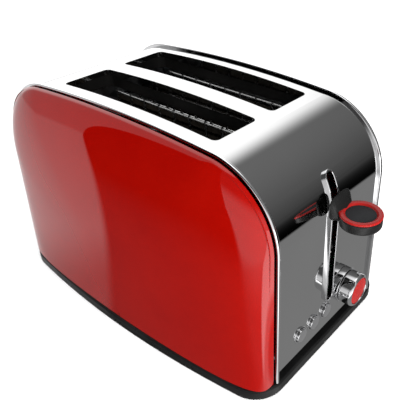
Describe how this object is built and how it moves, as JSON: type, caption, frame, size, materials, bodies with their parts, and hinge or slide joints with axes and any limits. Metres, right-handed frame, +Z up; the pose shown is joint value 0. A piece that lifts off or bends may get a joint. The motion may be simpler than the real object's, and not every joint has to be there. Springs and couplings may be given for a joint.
{
  "type": "pop up toaster",
  "caption": "Pop-up toaster with a polished wrap-around steel band, crowned painted side panels, sprung bread lift, browning dial, push buttons and a slide-out crumb tray.",
  "frame": {"origin": "bottom centre of the overall box, on the table under the toaster", "axes": "+X points out of the control end along the bread slots, +Y away from the near side panel, +Z up"},
  "size_m": [0.291, 0.1666, 0.1673],
  "materials": {
    "red_enamel": "gloss",
    "polished_steel": "mirror polished",
    "bright_chrome": "polished",
    "black_plastic": "satin",
    "red_plastic": "gloss",
    "dark_insert": "fine matte",
    "rubber_black": "matte",
    "galvanised_sheet": "dull zinc",
    "inner_sheet": "heat darkened",
    "plain_steel": "bright drawn",
    "spring_steel": "oiled",
    "mica_sheet": "flaky matte",
    "resistance_wire": "oxidised",
    "board_green": "satin",
    "component_black": "satin",
    "coil_brown": "lacquered"
  },
  "bodies": {
    "chassis": {"base_pan": "black_plastic", "base_screws": "plain_steel", "board_components": "component_black", "board_posts": "black_plastic", "button_bezels": "bright_chrome", "contact_blocks": "component_black", "control_board": "board_green", "cord_grommet": "rubber_black", "dial_sleeve": "bright_chrome", "end_frame_control": "galvanised_sheet", "end_frame_rear": "galvanised_sheet", "feet": "rubber_black", "guide_rods": "plain_steel", "heat_shield_far": "galvanised_sheet", "heat_shield_near": "galvanised_sheet", "heater_ribbon_far": "resistance_wire", "heater_ribbon_middle": "resistance_wire", "heater_ribbon_near": "resistance_wire", "lever_slot_bezel": "bright_chrome", "lift_springs": "spring_steel", "magnet_coil": "coil_brown", "magnet_core": "plain_steel", "mica_board_far": "mica_sheet", "mica_board_middle": "mica_sheet", "mica_board_near": "mica_sheet", "potentiometer": "component_black", "rod_foot_plate": "galvanised_sheet", "rod_top_bracket": "galvanised_sheet", "screw_posts": "black_plastic", "side_panel_far": "red_enamel", "side_panel_near": "red_enamel", "slot_liner_far": "inner_sheet", "slot_liner_near": "inner_sheet", "steel_band": "polished_steel", "tact_switches": "component_black", "tray_rails": "black_plastic", "trim_bead_far": "bright_chrome", "trim_bead_near": "bright_chrome"},
    "carriage_body": {"carriage": "galvanised_sheet", "armature_plate": "plain_steel", "lever_arm": "black_plastic", "lever_knob_disc": "black_plastic", "lever_knob_ring": "red_plastic", "lever_knob_insert": "dark_insert", "bread_rack_near": "inner_sheet", "bread_rack_far": "inner_sheet"},
    "dial": {"dial_knob": "bright_chrome", "dial_index_mark": "black_plastic", "dial_end_cap": "red_plastic", "dial_shaft": "plain_steel"},
    "button_one_body": {"button_one": "bright_chrome"},
    "button_two_body": {"button_two": "bright_chrome"},
    "button_three_body": {"button_three": "bright_chrome"},
    "crumb_drawer": {"crumb_tray": "galvanised_sheet", "crumb_tray_handle": "black_plastic"},
    "guard_near_inner": {"bread_guard_near_inner": "plain_steel"},
    "guard_near_outer": {"bread_guard_near_outer": "plain_steel"},
    "guard_far_inner": {"bread_guard_far_inner": "plain_steel"},
    "guard_far_outer": {"bread_guard_far_outer": "plain_steel"}
  },
  "joints": [
    {"name": "lever_slide", "type": "slide", "parent": "chassis", "child": "carriage_body", "axis": [0, 0, 1], "range_m": [-0.05, 0.014], "stiffness_N_per_m": 250, "springref_m": 0.0052, "deforming": ["lift_springs"]},
    {"name": "guard_near_inner_slide", "type": "slide", "parent": "chassis", "child": "guard_near_inner", "axis": [0, 1, 0], "range_m": [-0.005, 0.0014]},
    {"name": "guard_near_outer_slide", "type": "slide", "parent": "chassis", "child": "guard_near_outer", "axis": [0, -1, 0], "range_m": [-0.005, 0.0014]},
    {"name": "guard_far_inner_slide", "type": "slide", "parent": "chassis", "child": "guard_far_inner", "axis": [0, -1, 0], "range_m": [-0.005, 0.0014]},
    {"name": "guard_far_outer_slide", "type": "slide", "parent": "chassis", "child": "guard_far_outer", "axis": [0, 1, 0], "range_m": [-0.005, 0.0014]},
    {"name": "dial_turn", "type": "hinge", "parent": "chassis", "child": "dial", "pos_m": [0.11795, 0.0175, 0.0433], "axis": [1, 0, 0], "range_deg": [-135, 135]},
    {"name": "button_one_press", "type": "slide", "parent": "chassis", "child": "button_one_body", "axis": [-1, 0, 0], "range_m": [0, 0.002], "stiffness_N_per_m": 400, "springref_m": -0.001},
    {"name": "button_two_press", "type": "slide", "parent": "chassis", "child": "button_two_body", "axis": [-1, 0, 0], "range_m": [0, 0.002], "stiffness_N_per_m": 400, "springref_m": -0.001},
    {"name": "button_three_press", "type": "slide", "parent": "chassis", "child": "button_three_body", "axis": [-1, 0, 0], "range_m": [0, 0.002], "stiffness_N_per_m": 400, "springref_m": -0.001},
    {"name": "crumb_tray_slide", "type": "slide", "parent": "chassis", "child": "crumb_drawer", "axis": [-1, 0, 0], "range_m": [0, 0.19]}
  ],
  "couplings": [
    {"joint": "guard_near_inner_slide", "follows": "lever_slide", "ratio": 0.1},
    {"joint": "guard_near_outer_slide", "follows": "lever_slide", "ratio": 0.1},
    {"joint": "guard_far_inner_slide", "follows": "lever_slide", "ratio": 0.1},
    {"joint": "guard_far_outer_slide", "follows": "lever_slide", "ratio": 0.1}
  ]
}
